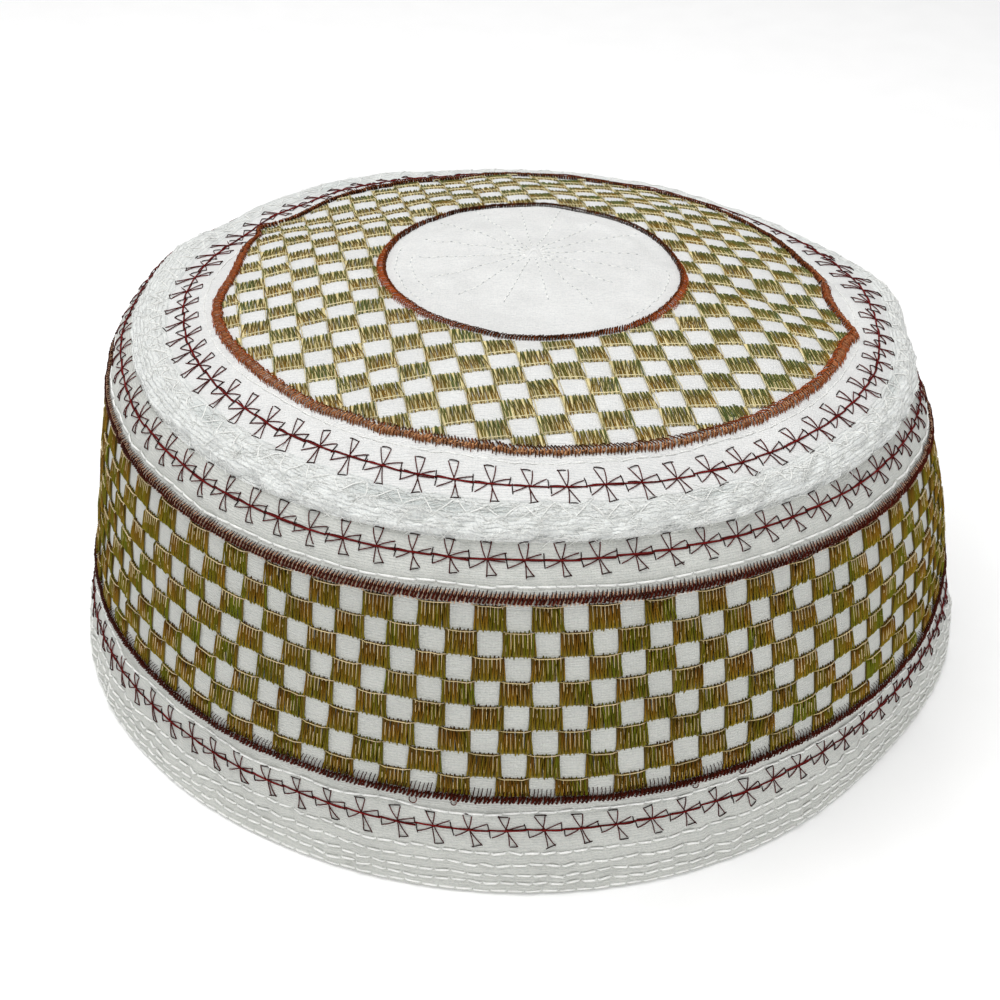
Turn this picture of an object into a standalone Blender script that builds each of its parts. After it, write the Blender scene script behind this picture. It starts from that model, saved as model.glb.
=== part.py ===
"""Embroidered prayer cap, standing on its hem as it rests on a table.

Two quilted cotton panels, the side wall and the crown, meet under a soft raised seam. Bands of
embroidery and their satin edgings lie on them as thin skins. All of them follow one surface, which
the table SECTIONS gives level by level, from the hem up and over to the middle of the crown.

Metres, +Z up. The origin is the middle of the hem's underside, which lies flat at z = 0. The front
of the cap faces -Y.
"""

import math

import bmesh
import bpy
import numpy as np

MM = 0.001
SEGMENTS = 64

# Cloth and thread thicknesses, in millimetres.
CLOTH = 2.4
GAP = 0.3
CHECK_THREAD = 0.7
EDGING_THREAD = 1.0
WELT_HEIGHT = 1.8
WELT_EDGE = 0.4

# Levels of the outer surface, in millimetres: a mean radius and height, how far the middle of the
# level stands aside, how much the level tips towards +X and +Y, and how far hand work has pulled
# the round out of true (two-sided and three-sided), with the two-sided wave of its height. The
# columns are radius, height, shift_x, shift_y, tip_x, tip_y, two_sided, three_sided and wave.
SECTIONS = {
    "hem": (92.0, 0.0, 0.0, 0.0, 0.0, 0.0, 1.2, 0.3, 0.0),
    "low_motifs": (89.5, 12.4, -0.4, -0.2, 0.8, -0.2, 1.2, 0.4, 0.3),
    "low_edging": (88.0, 18.2, -0.6, -0.3, 0.5, 0.3, 0.8, 0.5, 0.2),
    "waist": (84.4, 36.2, -1.0, -0.7, -1.3, 0.0, 0.4, 0.3, -0.8),
    "high_edging": (80.2, 54.0, -1.6, -1.2, -3.2, 0.1, 0.1, 0.0, -1.9),
    "high_motifs": (77.3, 59.4, -1.4, -1.4, -2.9, 0.9, 0.4, -0.2, -1.6),
    "seam": (72.6, 63.8, -0.7, -1.4, -1.9, 0.7, 0.1, -0.1, -0.9),
    "crown_motifs": (67.0, 66.5, 0.0, -0.9, -0.8, 0.6, -0.3, 0.0, -0.1),
    "crown_edging": (60.4, 68.4, -0.3, -0.2, -0.6, 0.1, -0.5, -0.1, 0.1),
    "crown_middle": (45.0, 71.4, -0.1, -0.4, -0.4, 0.5, -0.4, 0.0, 0.0),
    "disc_edge": (29.7, 73.5, 0.1, -0.7, -0.2, 0.9, -0.3, 0.0, 0.0),
    "centre": (0.0, 74.8, 0.2, 3.5, 0.0, 0.0, 0.0, 0.0, 0.0),
}
LEVELS = tuple(SECTIONS)
TABLE = np.array(list(SECTIONS.values()))

# Soft creases pressed into the crown: both ends in plan, depth and half width, in millimetres.
CREASES = {
    "back_left": ((-58.0, 28.0), (-36.0, 30.0), 1.0, 8.0),
    "front_right": ((34.0, 1.0), (62.0, -8.0), 1.1, 8.0),
}

# Places where wear has drawn the cloth in, or let it swell where the pull is negative: azimuth in
# degrees, level, pull in millimetres, and how far each one spreads, in degrees and in levels.
PULLS = {
    "left": (166.0, 7.9, 1.4, 13.0, 1.1),
    "right": (18.0, 7.9, 2.0, 15.0, 1.1),
    "left_shoulder": (162.0, 5.0, -1.9, 9.0, 1.0),
    "right_shoulder": (16.0, 6.0, -3.5, 12.0, 1.1),
    "front_hem": (-88.0, 0.0, -0.8, 24.0, 1.0),
    "right_hem": (-38.0, 0.0, 2.1, 18.0, 1.4),
}

# Where each piece starts and ends, in levels counted up from the hem.
WALL_TOP = 5.96
CROWN_RIM = 6.03
WELT_LEVELS = (5.4, 5.68, WALL_TOP, CROWN_RIM, 6.3, 6.6)
LOWER_EDGING_SPAN = (1.89, 2.11)
WALL_CHECK_SPAN = (2.13, 3.84)
WALL_CHECK_STEPS = 3
UPPER_EDGING_SPAN = (3.86, 4.10)
SHOULDER = 4.75
OUTER_EDGING_SPAN = (7.76, 8.10)
CROWN_CHECK_SPAN = (8.12, 9.92)
CROWN_CHECK_STEPS = 3
INNER_EDGING_SPAN = (9.94, 10.06)
CROWN_ROLL = 7.15
DISC_RING = 10.5


def clear_scene():
    for thing in list(bpy.data.objects):
        bpy.data.objects.remove(thing, do_unlink=True)


def level_values(level):
    """The table's columns at a level between rows, eased through the rows on both sides."""
    last = len(LEVELS) - 1
    low = min(int(level), last - 1)
    part = level - low
    rows = [TABLE[min(max(low + step, 0), last)] for step in (-1, 0, 1, 2)]
    start_slope = (rows[2] - rows[0]) / 2 if low > 0 else rows[2] - rows[1]
    end_slope = (rows[3] - rows[1]) / 2 if low + 2 <= last else rows[2] - rows[1]
    square, cube = part**2, part**3
    return (
        (2 * cube - 3 * square + 1) * rows[1]
        + (cube - 2 * square + part) * start_slope
        + (3 * square - 2 * cube) * rows[2]
        + (cube - square) * end_slope
    )


def crease_depth(x, y):
    """How far the crown is pressed in at a point of its plan, in millimetres."""
    total = 0.0
    for start, end, depth, half_width in CREASES.values():
        start, end = np.array(start), np.array(end)
        along = np.clip(np.dot((x, y) - start, end - start) / np.dot(end - start, end - start), 0.0, 1.0)
        distance = math.dist((x, y), start + along * (end - start))
        total += depth * math.exp(-((distance / half_width) ** 2))
    return total


def drawn_in(level, angle):
    """How far the cloth is drawn towards the middle at a place, in millimetres."""
    total = 0.0
    for azimuth, middle, pull, spread, level_spread in PULLS.values():
        turned = (math.degrees(angle) - azimuth + 180) % 360 - 180
        total += pull * math.exp(-((turned / spread) ** 2) - ((level - middle) / level_spread) ** 2)
    return total


def cloth_point(level, angle):
    """A point of the cap's outer face, in millimetres."""
    radius, height, shift_x, shift_y, tip_x, tip_y, two, three, wave = level_values(level)
    pulled = radius + two * math.sin(2 * angle) + three * math.sin(3 * angle) - drawn_in(level, angle)
    x = pulled * math.cos(angle) + shift_x
    y = pulled * math.sin(angle) + shift_y
    z = height + tip_x * math.cos(angle) + tip_y * math.sin(angle) + wave * math.sin(2 * angle)
    return np.array((x, y, z - crease_depth(x, y)))


def cloth_normal(level, angle):
    """The outward direction of the cap's outer face."""
    step = 0.02
    around = cloth_point(level, angle + step) - cloth_point(level, angle - step)
    low, high = max(level - step, 0.0), min(level + step, len(LEVELS) - 1.0)
    up = cloth_point(high, angle) - cloth_point(low, angle)
    normal = np.cross(around, up)
    return normal / np.linalg.norm(normal)


def face_row(bm, level, offset):
    """A ring of points at one level, moved off the cloth's outer face by offset millimetres."""
    ring = []
    for index in range(SEGMENTS):
        angle = 2 * math.pi * index / SEGMENTS
        point = cloth_point(level, angle) + offset * cloth_normal(level, angle)
        if level == 0:
            point[2] = 0.0
        ring.append(bm.verts.new(point * MM))
    return ring


def bridge(bm, first, second):
    """Quads between two rings; the faces point outwards where second lies above first outside."""
    for index in range(SEGMENTS):
        after = (index + 1) % SEGMENTS
        bm.faces.new((first[index], first[after], second[after], second[index]))


def cap_pole(bm, ring, offset):
    """Triangles from a ring to the middle of the crown."""
    x, y, z = cloth_point(len(LEVELS) - 1.0, 0.0)
    pole = bm.verts.new(np.array((x, y, z + offset)) * MM)
    for index in range(SEGMENTS):
        after = (index + 1) % SEGMENTS
        bm.faces.new((ring[index], ring[after], pole))


def levels_between(low, high, steps):
    return [low + (high - low) * step / steps for step in range(steps + 1)]


def finish(name, bm, colour, roughness):
    """Makes the object, with faces pointing out, smooth shading and its own material."""
    bmesh.ops.recalc_face_normals(bm, faces=bm.faces)
    mesh = bpy.data.meshes.new(name)
    bm.to_mesh(mesh)
    bm.free()
    piece = bpy.data.objects.new(name, mesh)
    bpy.context.scene.collection.objects.link(piece)
    mesh.shade_smooth()
    mesh.set_sharp_from_angle(angle=math.radians(40))
    material = bpy.data.materials.new(name)
    material.use_nodes = True
    shader = material.node_tree.nodes["Principled BSDF"]
    shader.inputs["Base Color"].default_value = (*colour, 1.0)
    shader.inputs["Roughness"].default_value = roughness
    shader.inputs["Metallic"].default_value = 0.0
    mesh.materials.append(material)
    return piece


def sleeve(name, levels, inner, outer, colour, roughness):
    """A closed ring of cloth or thread between two offsets from the cap's face at each level."""
    bm = bmesh.new()
    outside = [face_row(bm, level, offset) for level, offset in zip(levels, outer)]
    inside = [face_row(bm, level, offset) for level, offset in zip(levels, inner)]
    loop = outside + inside[::-1]
    for first, second in zip(loop, loop[1:] + loop[:1]):
        bridge(bm, first, second)
    return finish(name, bm, colour, roughness)


def band(name, span, steps, thickness, colour, roughness):
    """A thin embroidered skin that lies on the cloth with a small gap."""
    levels = levels_between(*span, steps)
    inner = [GAP] * len(levels)
    outer = [GAP + thickness] * len(levels)
    return sleeve(name, levels, inner, outer, colour, roughness)


def build_wall():
    below = [0.0, 1.0, LOWER_EDGING_SPAN[0]]
    levels = below + levels_between(*WALL_CHECK_SPAN, WALL_CHECK_STEPS)
    levels += [UPPER_EDGING_SPAN[1], SHOULDER, *WELT_LEVELS[:3]]
    count = len(levels)
    return sleeve("wall", levels, [-CLOTH] * count, [0.0] * count, (0.80, 0.81, 0.80), 0.9)


def build_crown():
    levels = list(WELT_LEVELS[3:]) + levels_between(CROWN_ROLL, OUTER_EDGING_SPAN[0], 1)
    levels += levels_between(*CROWN_CHECK_SPAN, CROWN_CHECK_STEPS)
    levels.append(DISC_RING)
    bm = bmesh.new()
    outside = [face_row(bm, level, 0.0) for level in levels]
    inside = [face_row(bm, level, -CLOTH) for level in levels]
    for rows in (outside, inside):
        for first, second in zip(rows, rows[1:]):
            bridge(bm, first, second)
    bridge(bm, inside[0], outside[0])
    cap_pole(bm, outside[-1], 0.0)
    cap_pole(bm, inside[-1], -CLOTH)
    return finish("crown", bm, (0.82, 0.83, 0.82), 0.9)


def build_seam_welt():
    low, high = WELT_LEVELS[0], WELT_LEVELS[-1]
    across = [(level - low) / (high - low) for level in WELT_LEVELS]
    outer = [GAP + WELT_EDGE + (WELT_HEIGHT - WELT_EDGE) * math.sin(math.pi * part) for part in across]
    inner = [GAP] * len(WELT_LEVELS)
    return sleeve("seam_welt", WELT_LEVELS, inner, outer, (0.84, 0.85, 0.84), 0.9)


def main():
    clear_scene()
    build_wall()
    build_crown()
    build_seam_welt()
    band("wall_checker", WALL_CHECK_SPAN, WALL_CHECK_STEPS, CHECK_THREAD, (0.20, 0.13, 0.02), 0.6)
    band("crown_checker", CROWN_CHECK_SPAN, CROWN_CHECK_STEPS, CHECK_THREAD, (0.27, 0.17, 0.03), 0.6)
    band("wall_lower_edging", LOWER_EDGING_SPAN, 1, EDGING_THREAD, (0.05, 0.010, 0.010), 0.6)
    band("wall_upper_edging", UPPER_EDGING_SPAN, 2, EDGING_THREAD, (0.05, 0.010, 0.010), 0.6)
    band("crown_outer_edging", OUTER_EDGING_SPAN, 2, EDGING_THREAD, (0.25, 0.07, 0.03), 0.6)
    band("crown_inner_edging", INNER_EDGING_SPAN, 1, EDGING_THREAD, (0.22, 0.05, 0.02), 0.6)


main()
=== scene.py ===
"""Looks of the embroidered prayer cap: quilted cotton, thread-by-thread embroidery and white stitching.

The cap's surface is worked out again here from the same sections as the model's, level by level from
the hem up to the middle of the crown. Cloth and threads are laid on that surface in millimetres and
become metres when a mesh is made. The front of the cap faces -Y.
"""

import math

import bpy
import numpy as np
from mathutils import Matrix, Vector


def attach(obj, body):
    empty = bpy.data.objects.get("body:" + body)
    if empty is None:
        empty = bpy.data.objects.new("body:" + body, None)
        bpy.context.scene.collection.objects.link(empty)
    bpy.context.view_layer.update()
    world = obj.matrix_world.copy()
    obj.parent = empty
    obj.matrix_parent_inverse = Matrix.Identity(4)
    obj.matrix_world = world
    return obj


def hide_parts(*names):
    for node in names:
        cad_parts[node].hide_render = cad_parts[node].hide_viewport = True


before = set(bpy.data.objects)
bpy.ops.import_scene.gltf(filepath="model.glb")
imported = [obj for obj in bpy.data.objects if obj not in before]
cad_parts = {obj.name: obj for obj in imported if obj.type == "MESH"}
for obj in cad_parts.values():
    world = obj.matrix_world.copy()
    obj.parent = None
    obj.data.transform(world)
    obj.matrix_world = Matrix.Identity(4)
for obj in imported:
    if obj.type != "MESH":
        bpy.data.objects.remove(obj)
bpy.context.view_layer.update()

MM = 0.001
FULL_TURN = 2 * math.pi

# Levels of the outer surface in millimetres, from the hem to the middle of the crown. The columns are
# radius, height, shift_x, shift_y, tip_x, tip_y, two_sided, three_sided and wave.
SECTIONS = {
    "hem": (92.0, 0.0, 0.0, 0.0, 0.0, 0.0, 1.2, 0.3, 0.0),
    "low_motifs": (89.5, 12.4, -0.4, -0.2, 0.8, -0.2, 1.2, 0.4, 0.3),
    "low_edging": (88.0, 18.2, -0.6, -0.3, 0.5, 0.3, 0.8, 0.5, 0.2),
    "waist": (84.4, 36.2, -1.0, -0.7, -1.3, 0.0, 0.4, 0.3, -0.8),
    "high_edging": (80.2, 54.0, -1.6, -1.2, -3.2, 0.1, 0.1, 0.0, -1.9),
    "high_motifs": (77.3, 59.4, -1.4, -1.4, -2.9, 0.9, 0.4, -0.2, -1.6),
    "seam": (72.6, 63.8, -0.7, -1.4, -1.9, 0.7, 0.1, -0.1, -0.9),
    "crown_motifs": (67.0, 66.5, 0.0, -0.9, -0.8, 0.6, -0.3, 0.0, -0.1),
    "crown_edging": (60.4, 68.4, -0.3, -0.2, -0.6, 0.1, -0.5, -0.1, 0.1),
    "crown_middle": (45.0, 71.4, -0.1, -0.4, -0.4, 0.5, -0.4, 0.0, 0.0),
    "disc_edge": (29.7, 73.5, 0.1, -0.7, -0.2, 0.9, -0.3, 0.0, 0.0),
    "centre": (0.0, 74.8, 0.2, 3.5, 0.0, 0.0, 0.0, 0.0, 0.0),
}
TABLE = np.array(list(SECTIONS.values()))
TOP_LEVEL = len(SECTIONS) - 1

# Soft creases pressed into the crown: both ends in plan, depth and half width.
CREASES = (
    ((-58.0, 28.0), (-36.0, 30.0), 1.0, 8.0),
    ((34.0, 1.0), (62.0, -8.0), 1.1, 8.0),
)

# Places where wear has drawn the cloth in, or let it swell where the pull is negative: azimuth in
# degrees, level, pull in millimetres, and how far each one spreads, in degrees and in levels.
PULLS = {
    "left": (166.0, 7.9, 1.4, 13.0, 1.1),
    "right": (18.0, 7.9, 2.0, 15.0, 1.1),
    "left_shoulder": (162.0, 5.0, -1.9, 9.0, 1.0),
    "right_shoulder": (16.0, 6.0, -3.5, 12.0, 1.1),
    "front_hem": (-88.0, 0.0, -0.8, 24.0, 1.0),
    "right_hem": (-38.0, 0.0, 2.1, 18.0, 1.4),
}

# Thickness of the quilted cloth, and how much thread makes one turn of its twist.
CLOTH = 2.4
TWIST = 0.6

# Where the bands of the cap lie, in levels.
WALL_TOP = 5.96
CROWN_RIM = 6.03
SEAM_SPAN = (5.45, 6.52)
LOWER_EDGING_SPAN = (1.90, 2.02, 2.115)
WALL_CHECK_TOP = 3.855
WALL_CHECK_FOOT = 2.01
UPPER_EDGING_SPAN = (3.865, 3.875, 3.985, 4.045)
OUTER_EDGING_LEVEL = 7.95
INNER_EDGING_TOP = 10.05
HEM_ROWS = (0.05, 0.159, 0.276, 0.421, 0.598)
LOWER_RUN = 1.56
UPPER_RUN = 4.12
CROWN_RUN = 7.70

# Checks: pairs of squares round the wall, rows, and their size in millimetres.
WALL_PAIRS = 56
WALL_ROWS = 8
WALL_ROW_PITCH = 4.43
WALL_BROWN_SHARE = 0.57
WALL_FIRST_AZIMUTH = -105.2
WALL_LEAN = -0.115
CROWN_TURN = 12.1
CROWN_COLUMN_PITCH = 5.25
CROWN_ROW_PITCH = 4.62
CROWN_ORIGIN = (-8.64, -42.9)
CROWN_BROWN_SHARE = 0.525
CROWN_CHECK_SPAN = (8.04, 10.0)

# Where the crown's outer edging leaves its circle: azimuth and spread in degrees, millimetres inwards.
EDGING_DRIFT = (
    (180.0, 9.0, 2.3),
    (161.0, 5.0, -1.4),
    (152.5, 4.0, -4.4),
    (1.0, 6.0, 1.8),
    (350.5, 4.0, -1.8),
)

# Rows of pinwheel motifs: level, how many, azimuth of one of them, half width and half height.
MOTIF_ROWS = {
    "crown_pinwheels": (6.96, 69, -89.4, 3.05, 3.3),
    "high_pinwheels": (5.00, 82, -88.8, 3.0, 3.1),
    "low_pinwheels": (0.95, 92, -86.6, 3.05, 3.0),
}


def eased(level):
    """The table's columns at levels between its rows, eased through the rows on both sides."""
    level = np.clip(level, 0.0, TOP_LEVEL)
    low = np.minimum(level.astype(int), TOP_LEVEL - 1)
    part = (level - low)[..., None]
    before, start, end, after = (TABLE[np.clip(low + step, 0, TOP_LEVEL)] for step in (-1, 0, 1, 2))
    start_slope = np.where((low > 0)[..., None], (end - before) / 2, end - start)
    end_slope = np.where((low + 2 <= TOP_LEVEL)[..., None], (after - start) / 2, end - start)
    square, cube = part**2, part**3
    values = (
        (2 * cube - 3 * square + 1) * start
        + (cube - 2 * square + part) * start_slope
        + (3 * square - 2 * cube) * end
        + (cube - square) * end_slope
    )
    return np.moveaxis(values, -1, 0)


def crease_depth(x, y):
    """How far the crown is pressed in at points of its plan."""
    total = np.zeros_like(x)
    for start, end, depth, half_width in CREASES:
        run = np.array(end) - start
        along = ((x - start[0]) * run[0] + (y - start[1]) * run[1]) / (run @ run)
        along = np.clip(along, 0.0, 1.0)
        distance = np.hypot(x - start[0] - along * run[0], y - start[1] - along * run[1])
        total += depth * np.exp(-((distance / half_width) ** 2))
    return total


def near_azimuth(angle, middle, spread):
    """One at an azimuth given in degrees, falling away smoothly on both sides of it."""
    turned = (np.degrees(angle) - middle + 180) % 360 - 180
    return np.exp(-((turned / spread) ** 2))


def drawn_in(level, angle):
    """How far wear has drawn the cloth towards the middle."""
    return sum(
        pull * near_azimuth(angle, azimuth, spread) * np.exp(-(((level - middle) / level_spread) ** 2))
        for azimuth, middle, pull, spread, level_spread in PULLS.values()
    )


def bare_point(level, angle):
    """Points of the cap's smooth outer face, before any stitch has pulled on it."""
    level, angle = np.broadcast_arrays(np.asarray(level, float), np.asarray(angle, float))
    radius, height, shift_x, shift_y, tip_x, tip_y, two, three, wave = eased(level)
    pulled = radius + two * np.sin(2 * angle) + three * np.sin(3 * angle) - drawn_in(level, angle)
    x = pulled * np.cos(angle) + shift_x
    y = pulled * np.sin(angle) + shift_y
    z = height + tip_x * np.cos(angle) + tip_y * np.sin(angle) + wave * np.sin(2 * angle)
    return np.stack((x, y, z - crease_depth(x, y)), -1)


def unit(vectors):
    return vectors / np.maximum(np.linalg.norm(vectors, axis=-1, keepdims=True), 1e-9)


def bare_normal(level, angle):
    """The outward direction of that face."""
    step = 0.02
    level, angle = np.broadcast_arrays(np.asarray(level, float), np.asarray(angle, float))
    around = bare_point(level, angle + step) - bare_point(level, angle - step)
    below, above = np.maximum(level - step, 0.0), np.minimum(level + step, TOP_LEVEL)
    normal = unit(np.cross(around, bare_point(above, angle) - bare_point(below, angle)))
    normal[np.abs(normal).sum(-1) < 0.5] = (0.0, 0.0, 1.0)
    return normal


# Length of cloth from the hem up to each level, along the cap's mean outline.
LEVEL_STEPS = np.linspace(0.0, TOP_LEVEL, 1101)
OUTLINE = np.stack(eased(LEVEL_STEPS)[:2], -1)
CLOTH_LENGTHS = np.concatenate(([0.0], np.cumsum(np.linalg.norm(np.diff(OUTLINE, axis=0), axis=1))))


def length_at(level):
    return np.interp(level, LEVEL_STEPS, CLOTH_LENGTHS)


def level_at(length):
    return np.interp(length, CLOTH_LENGTHS, LEVEL_STEPS)


def radius_at(level):
    return np.interp(level, LEVEL_STEPS, OUTLINE[:, 0])


def moved(level, angle, across, up):
    """A place on the cap, moved by millimetres of cloth around it and up it."""
    there = level_at(length_at(level) + up)
    return there, angle + across / np.maximum(radius_at(there), 1.0)


def from_plan(x, y):
    """The level and angle of the crown's surface at points of its plan."""
    level = np.interp(-np.hypot(x, y), -OUTLINE[:, 0], LEVEL_STEPS)
    for _ in range(12):
        _, _, shift_x, shift_y, _, _, two, three, _ = eased(level)
        angle = np.arctan2(y - shift_y, x - shift_x)
        swing = two * np.sin(2 * angle) + three * np.sin(3 * angle) - drawn_in(level, angle)
        wanted = np.hypot(x - shift_x, y - shift_y) - swing
        level = np.interp(-wanted, -OUTLINE[:, 0], LEVEL_STEPS)
    return level, angle


def edging_drift(angle):
    """How far towards the middle hand work has set the crown's outer edging."""
    return sum(inward * near_azimuth(angle, azimuth, spread) for azimuth, spread, inward in EDGING_DRIFT)


def lumps(points, size, seed):
    """Smooth random relief of about unit height, with lumps about size millimetres wide."""
    waves = 18
    rng = np.random.default_rng(seed)
    directions = unit(rng.normal(size=(waves, 3)))
    pulse = FULL_TURN / size * rng.uniform(0.55, 1.25, waves)
    phase = rng.uniform(0.0, FULL_TURN, waves)
    total = np.zeros(points.shape[:-1])
    for direction, rate, start in zip(directions, pulse, phase):
        total += np.cos(points @ direction * rate + start)
    return total * math.sqrt(2.0 / waves)


def step_up(value, low, high):
    part = np.clip((value - low) / (high - low), 0.0, 1.0)
    return part * part * (3 - 2 * part)


def wrapped(level, angle, around, up):
    """Coordinates for relief that is stretched along or across the cap's rows and closes round it."""
    radius = 80.0 * around
    height = up * length_at(level) * np.ones_like(angle)
    return np.stack((radius * np.cos(angle), radius * np.sin(angle), height), -1)


def crown_cell(x, y):
    """Column and row of the crown's checks at points of its plan; white squares have an even sum."""
    turn = math.radians(CROWN_TURN)
    dx, dy = x - CROWN_ORIGIN[0], y - CROWN_ORIGIN[1]
    column = (dx * math.cos(turn) + dy * math.sin(turn)) / CROWN_COLUMN_PITCH
    row = (dx * math.sin(turn) - dy * math.cos(turn)) / CROWN_ROW_PITCH
    return column, row


def crown_place(column, row):
    """The point of the crown's plan at a column and row of its checks."""
    turn = math.radians(CROWN_TURN)
    across, down = column * CROWN_COLUMN_PITCH, row * CROWN_ROW_PITCH
    x = CROWN_ORIGIN[0] + across * math.cos(turn) + down * math.sin(turn)
    y = CROWN_ORIGIN[1] + across * math.sin(turn) - down * math.cos(turn)
    return x, y


def hem_relief(level, angle):
    """Channels sewn along the hem, with the cloth puffed and puckered between them."""
    length = length_at(level)
    relief = np.zeros_like(length)
    for row in HEM_ROWS[1:]:
        relief -= 0.34 * np.exp(-(((length - length_at(row)) / 0.42) ** 2))
    top = length_at(HEM_ROWS[-1])
    within = step_up(length, 0.2, 1.6) * (1 - step_up(length, top, top + 2.5))
    relief += within * (0.16 + 0.19 * lumps(wrapped(level, angle, 1.0, 0.4), 2.6, 11))
    return relief + within * 0.13 * lumps(wrapped(level, angle, 0.5, 0.8), 3.0, 13)


def run_relief(level, angle):
    """Grooves under the single rows of white stitching."""
    length = length_at(level)
    relief = np.zeros_like(length)
    for row in (LOWER_RUN, UPPER_RUN, CROWN_RUN):
        distance = np.abs(length - length_at(row))
        relief -= 0.22 * np.exp(-((distance / 0.5) ** 2))
        relief += 0.12 * np.exp(-((distance / 2.0) ** 2)) * lumps(wrapped(level, angle, 1.0, 0.5), 4.0, 12)
    return relief


def check_relief(level, points):
    """White squares of the crown stand a little proud between the stitched ones."""
    column, row = crown_cell(points[..., 0], points[..., 1])
    near_column, near_row = np.round(column), np.round(row)
    white = (near_column + near_row) % 2 == 0
    puff = np.cos(math.pi * (column - near_column)) * np.cos(math.pi * (row - near_row))
    inside = step_up(level, 8.12, 8.2) * (1 - step_up(level, 9.86, 9.94))
    return inside * np.where(white, 0.42 * np.sqrt(np.abs(puff)), -0.05)


def disc_relief(level, points):
    """The plain disc, quilted in rays and rings."""
    inside = step_up(level, 10.06, 10.2)
    ring = 0.10 * np.cos(FULL_TURN * (level - 10.06) / 0.19)
    return inside * (0.12 * lumps(points, 6.0, 14) + ring * (1 - step_up(level, 10.3, 10.6)))


def relief(level, angle):
    """How far stitching and wear move the outer face out or in."""
    points = bare_point(level, angle)
    total = (0.16 * lumps(points, 22.0, 15) + 0.05 * lumps(points, 7.0, 16)) * step_up(level, 0.0, 0.3)
    total += hem_relief(level, angle) + run_relief(level, angle)
    return total + check_relief(level, points) + disc_relief(level, points)


def raised(level, angle, height):
    """Points at a height over the smooth outer face, or under it."""
    return bare_point(level, angle) + np.reshape(height, (-1, 1)) * bare_normal(level, angle)


def cap_place(level, angle, lift=0.0):
    """Points and outward directions a given height over the finished outer face."""
    normal = bare_normal(level, angle)
    height = relief(level, angle) + lift
    return bare_point(level, angle) + height[..., None] * normal, normal


def new_mesh(name, vertices, faces, material, attributes=()):
    """A smooth mesh piece from points in millimetres, riding on the cap."""
    mesh = bpy.data.meshes.new(name)
    mesh.from_pydata((vertices * MM).tolist(), [], faces)
    for title, values in attributes:
        layer = mesh.attributes.new(title, "FLOAT_VECTOR", "POINT")
        layer.data.foreach_set("vector", np.ascontiguousarray(values, np.float32).ravel())
    mesh.materials.append(material)
    mesh.shade_smooth()
    piece = bpy.data.objects.new(name, mesh)
    bpy.context.scene.collection.objects.link(piece)
    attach(piece, "root")
    return piece


def strands(level, angle, lift, width, thickness, chance, tone=None, sides=3):
    """Short threads laid over the cap as thin tubes, one a row of the arrays, with thread coordinates."""
    level, angle = np.broadcast_arrays(np.asarray(level, float), np.asarray(angle, float))
    count, steps = level.shape
    centre, normal = cap_place(level, angle, np.broadcast_to(lift, level.shape))
    width, thickness = (np.broadcast_to(size, (count, steps)) for size in (width, thickness))
    tone = np.zeros(count) if tone is None else tone
    forward = unit(np.gradient(centre, axis=1))
    side = unit(np.cross(normal, forward))
    out = np.cross(forward, side)
    turn = FULL_TURN * (np.arange(sides) + (0.75 if sides == 3 else 0.5)) / sides
    ring = (
        side[:, :, None] * (np.cos(turn)[:, None] * width[:, :, None, None] / 2)
        + out[:, :, None] * (np.sin(turn)[:, None] * thickness[:, :, None, None] / 2)
    )
    first = (np.arange(count) * steps * sides)[:, None, None]
    row = first + (np.arange(steps - 1) * sides)[None, :, None]
    here, there = np.arange(sides), (np.arange(sides) + 1) % sides
    quads = np.stack([row + here, row + there, row + sides + there, row + sides + here], -1).reshape(-1, 4)
    start_cap, end_cap = first[:, 0] + here[::-1], first[:, 0] + (steps - 1) * sides + here
    run = np.cumsum(np.linalg.norm(np.diff(centre, axis=1, prepend=centre[:, :1]), axis=-1), axis=1)
    shape = (count, steps, sides)
    share = np.broadcast_to((run / np.maximum(run[:, -1:], 1e-6))[:, :, None], shape)
    twist = run[:, :, None] + np.broadcast_to(turn / FULL_TURN * TWIST, shape)
    return {
        "vertices": (centre[:, :, None] + ring).reshape(-1, 3),
        "faces": quads.tolist() + start_cap.tolist() + end_cap.tolist(),
        "thread": np.stack((share, np.broadcast_to(chance[:, None, None], shape), twist), -1).reshape(-1, 3),
        "hue": np.broadcast_to(tone[:, None, None, None], (*shape, 3)).reshape(-1, 3),
    }


def joined(parts):
    """Several sets of threads as one."""
    faces, start = [], 0
    for part in parts:
        faces += [[index + start for index in face] for face in part["faces"]]
        start += len(part["vertices"])
    merged = {key: np.concatenate([part[key] for part in parts]) for key in ("vertices", "thread", "hue")}
    merged["faces"] = faces
    return merged


def thread_piece(name, parts, material):
    """A mesh piece made of threads."""
    made = joined(parts)
    attributes = (("thread", made["thread"]), ("hue", made["hue"]))
    piece = new_mesh(name, made["vertices"], made["faces"], material, attributes)
    return piece


WHITE = (1.0, 1.0, 1.0)

# Depth of the cotton's weave and of a thread's twist, in metres.
WEAVE_DEPTH = 0.00015
TWIST_DEPTH = 0.00006


def node(tree, kind, **settings):
    made = tree.nodes.new(kind)
    for key, value in settings.items():
        setattr(made, key, value)
    return made


def feed(tree, socket, term):
    """Links another node's output to an input, or sets the input to a number or a colour."""
    if isinstance(term, bpy.types.NodeSocket):
        tree.links.new(term, socket)
    else:
        socket.default_value = (*term, 1) if isinstance(term, tuple) else term


def settle(made, values):
    """Sets a node's inputs to constant values."""
    for socket, value in values.items():
        made.inputs[socket].default_value = value


def attribute(tree, name):
    """The three channels of a point attribute."""
    read = node(tree, "ShaderNodeAttribute", attribute_name=name)
    split = node(tree, "ShaderNodeSeparateXYZ")
    feed(tree, split.inputs[0], read.outputs["Vector"])
    return split.outputs[:3]


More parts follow.
